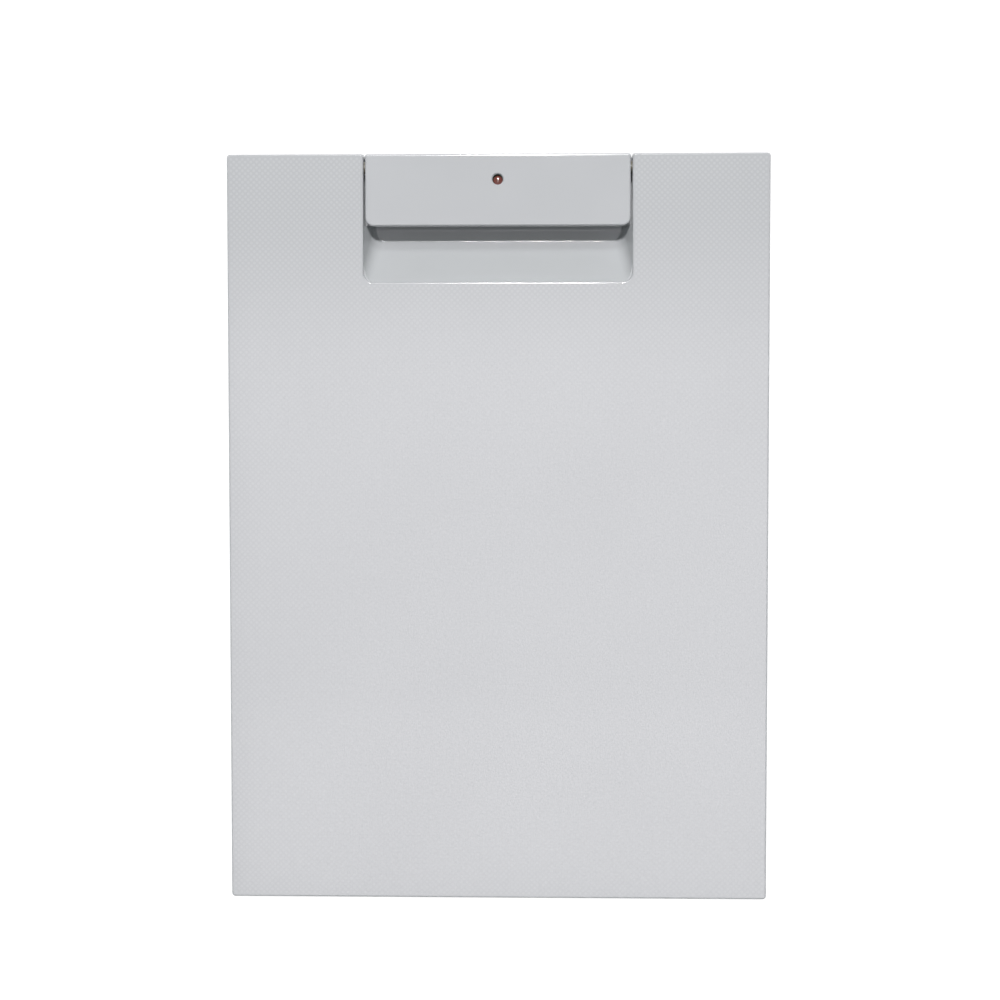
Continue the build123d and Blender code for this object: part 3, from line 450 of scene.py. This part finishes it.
# rubber feet: a shallow dished face inside a bevelled rim, with a groove round it
shape = bmesh.new()
for low, high in islands(nodes["rubber_feet"]):
    centre = Vector(((low.x + high.x) / 2, (low.y + high.y) / 2, low.z))
    height = high.z - low.z
    rim_corner = [(5.0 * MM, 0.32 * MM), (4.9 * MM, 0.12 * MM), (4.7 * MM, 0.0)]
    groove = [(3.7 * MM, 0.0), (3.6 * MM, 0.25 * MM), (3.2 * MM, 0.25 * MM), (3.1 * MM, 0.04 * MM)]
    turned(shape, [(0, height), (5.0 * MM, height)] + rim_corner + groove + [(0, 0.08 * MM)], centre, 40)
feet = finish_piece(shape, "feet_moulded", foot_finish, 50)
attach(feet, "tray")
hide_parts("rubber_feet")

# lamp: a lens with a domed top, and its two leads; the lens sits a hair off the middle of its hole
low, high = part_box("indicator_led")
centre = Vector(((low[0] + high[0]) / 2 + 0.05 * MM, (low[1] + high[1]) / 2 - 0.10 * MM, high[2] + 0.15 * MM))
lens_radius, dome_radius, shoulder = 2.1 * MM, 3.0 * MM, -0.92 * MM
lens_foot = -lens_radius - 1.2 * MM
dome = [(dome_radius * math.sin(math.radians(a)), dome_radius * math.cos(math.radians(a)) - dome_radius)
        for a in range(4, 41, 4)]
side_and_foot = [(lens_radius, shoulder), (lens_radius, lens_foot), (0, lens_foot)]
shape = bmesh.new()
turned(shape, [(0, 0)] + dome + side_and_foot, centre, 40)
lamp = finish_piece(shape, "lamp_lens", lamp_finish, 50)
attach(lamp, "clip")
shape = bmesh.new()
foot = low[2] + 0.02 * MM
top = centre.z - lens_radius - 1.2 * MM
half_spacing = 1.27 * MM
for side in (-1, 1):
    middle = (centre.x + side * half_spacing, centre.y, (top + foot) / 2)
    bmesh.ops.create_cone(shape, cap_ends=True, segments=12, radius1=0.22 * MM, radius2=0.25 * MM,
                          depth=top - foot, matrix=Matrix.Translation(middle))
leads = finish_piece(shape, "lamp_leads", strap_finish)
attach(leads, "clip")
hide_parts("indicator_led")
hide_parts("indicator_led")


def torsion_spring(name, side):
    """One wire about the clip's pin: clip leg, coil and lid leg."""
    wire_radius, coil_radius, turns, steps_per_turn = 0.4 * MM, 2.45 * MM, 7.5, 22
    pivot = Vector((0, 153.7 * MM, 16.6 * MM))
    inner, outer = 27.65 * MM, 34.55 * MM               # where the two legs stand across the board
    clip_leg_foot, lid_leg_foot = 147.72 * MM, 147.07 * MM
    shape = bmesh.new()
    start = Vector((inner, clip_leg_foot, pivot.z + coil_radius))
    bmesh.ops.create_circle(shape, cap_ends=True, segments=10, radius=wire_radius,
                            matrix=Matrix.Translation(start) @ Matrix.Rotation(math.radians(90), 4, "X"))
    end = shape.faces[:]
    steps = int(turns * steps_per_turn)
    for leg in (pivot.y - start.y, None, lid_leg_foot - pivot.y):
        if leg is None:
            disc = end + [edge for face in end for edge in face.edges]
            disc += [corner for face in end for corner in face.verts]
            grown = bmesh.ops.spin(shape, geom=disc, cent=pivot, axis=X, angle=-math.tau * turns, steps=steps,
                                   dvec=Vector(((outer - inner) / steps, 0, 0)))["geom_last"]
        else:
            grown = bmesh.ops.extrude_face_region(shape, geom=end)["geom"]
            bmesh.ops.translate(shape, vec=Vector((0, leg, 0)),
                                verts=[part for part in grown if isinstance(part, bmesh.types.BMVert)])
        end = [part for part in grown if isinstance(part, bmesh.types.BMFace)]
    discs_inside = [face for face in shape.faces if all(len(edge.link_faces) > 2 for edge in face.edges)]
    bmesh.ops.delete(shape, geom=discs_inside, context="FACES_ONLY")
    if side < 0:
        bmesh.ops.scale(shape, vec=(-1, 1, 1), verts=shape.verts)
    spring = finish_piece(shape, name + "_wound", spring_finish, 60)
    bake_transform(spring)
    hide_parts(name)


torsion_spring("torsion_spring_left", -1)
torsion_spring("torsion_spring_right", 1)


# ------------------------------------------------------------------ camera, floor and light
def look(position, turn_degrees, focal):
    """Puts the camera at position, turned by degrees about X, Y and Z."""
    camera_data = bpy.data.cameras.new("front_camera")
    camera_data.lens = focal
    camera_data.clip_end = 1000
    camera = bpy.data.objects.new("front_camera", camera_data)
    camera.location = position
    camera.rotation_euler = [math.radians(a) for a in turn_degrees]
    bpy.context.scene.collection.objects.link(camera)
    bpy.context.scene.camera = camera


def softbox(name, position, target, width, height, power, colour, mirrored=True):
    """A rectangular area light aimed at target. One that isn't mirrored adds no reflection of its own."""
    light_data = bpy.data.lights.new(name, "AREA")
    light_data.shape = "RECTANGLE"
    light_data.size, light_data.size_y = width, height
    light_data.energy = power
    light_data.color = linear(colour)[:3]
    light = bpy.data.objects.new(name, light_data)
    light.visible_glossy = mirrored
    aim = Vector(target) - Vector(position)
    light.rotation_euler = aim.to_track_quat("-Z", "Y").to_euler()
    light.location = position
    bpy.context.scene.collection.objects.link(light)


def staged_sheet(name, size, matrix, material):
    """A flat sheet of the stage, reaching size to each side of its middle before the matrix."""
    mesh = bpy.data.meshes.new(name)
    sheet = bmesh.new()
    bmesh.ops.create_grid(sheet, x_segments=1, y_segments=1, size=size, matrix=matrix)
    sheet.to_mesh(mesh)
    sheet.free()
    piece = bpy.data.objects.new(name, mesh)
    bpy.context.scene.collection.objects.link(piece)
    give_finish(piece, material)


look((0.0209, 0.0485, 0.7874), (-2.695, 1.493, -0.023), 64.8)

opal_sheet, _, _ = new_material("opal_sheet_lit_from_below", Base_Color=linear("#6a6a6a"), Roughness=0.9,
                                Emission_Color=(1, 1, 1, 1), Emission_Strength=1.0)
staged_sheet("floor", 200.0, Matrix.Identity(4), opal_sheet)

# a card high above, mirrored in the lid: dark over the head end, then a ramp to its full brightness, and a
# slightly brighter strip past the foot
card_glow = 2.75
lit_card, tree, shader = new_material("lit_card", Base_Color=(0, 0, 0, 1), Roughness=1.0,
                                      Emission_Color=linear("#fdf8fb"))
along = add(tree, "SeparateXYZ", {0: add(tree, "TexCoord").outputs["Object"]}).outputs["Y"]
ramped = add(tree, "MapRange", {"Value": along, "From Min": 0.457, "From Max": 0.176, "To Max": card_glow})
strip = add(tree, "MapRange", {"Value": along, "From Min": -0.557, "From Max": -0.561,
                               "To Max": card_glow * 0.2})
glow = add(tree, "Math", {0: ramped.outputs["Result"], 1: strip.outputs["Result"]}, operation="ADD")
tree.links.new(glow.outputs[0], shader.inputs["Emission Strength"])
card_place = Matrix.Translation((0, -0.27, 3.0)) @ Matrix.Diagonal((0.66, 0.727, -1, 1))
staged_sheet("card", 1.0, card_place, lit_card)

softbox("key_over_head", (-0.035, 2.47, 4.41), (0, 0, 0), 0.45, 0.45, 207, "#fffdfb")
softbox("low_key", (0.0, 3.75, 3.35), (0, 0, 0), 1.2, 0.9, 45, "#fffdfb", mirrored=False)
softbox("fill_over_foot", (0.0, -1.5, 2.6), (0, 0, 0), 1.5, 1.0, 0.8, "#dff3e8")

world = bpy.data.worlds.new("studio")
bpy.context.scene.world = world
world.use_nodes = True
background = world.node_tree.nodes["Background"]
background.inputs["Color"].default_value = linear("#b4dcc6")
background.inputs["Strength"].default_value = 0.08
bpy.context.scene.view_settings.view_transform = "Standard"
bpy.context.scene.view_settings.look = "None"
